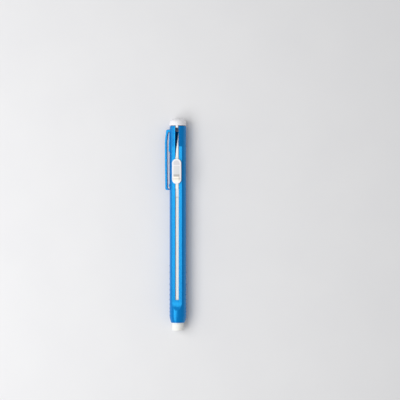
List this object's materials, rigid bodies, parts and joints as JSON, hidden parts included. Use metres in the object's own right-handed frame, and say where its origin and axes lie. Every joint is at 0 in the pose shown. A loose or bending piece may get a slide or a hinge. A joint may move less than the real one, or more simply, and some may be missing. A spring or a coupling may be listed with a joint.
{
  "type": "eraser holder",
  "caption": "Pen-shaped eraser holder: slotted round barrel with a side clip, a sliding thumb button, an end cap and a round eraser stick at the tip.",
  "frame": {"origin": "centre of the end cap's flat end face, on the barrel's axis", "axes": "+Y along the barrel's axis and out of the cap end, +Z out of the slot and the thumb button, clip on the -X side"},
  "size_m": [0.0135, 0.1331, 0.0117],
  "materials": {
    "barrel_blue": "smooth moulded plastic, semi-gloss",
    "cap_white": "smooth moulded plastic, satin",
    "carriage_white": "smooth moulded plastic, satin",
    "button_white": "smooth moulded plastic, satin",
    "eraser_vinyl": "soft white vinyl, matt"
  },
  "bodies": {
    "barrel": {"barrel": "barrel_blue", "end_cap": "cap_white"},
    "slider": {"carriage": "carriage_white", "thumb_button": "button_white"},
    "eraser": {"eraser_stick": "eraser_vinyl"}
  },
  "joints": [
    {"name": "slider_feed", "type": "slide", "parent": "barrel", "child": "slider", "axis": [0, -1, 0], "range_m": [-0.0076, 0.0694]},
    {"name": "eraser_pull", "type": "slide", "parent": "slider", "child": "eraser", "axis": [0, -1, 0], "range_m": [0, 0.0875]}
  ]
}
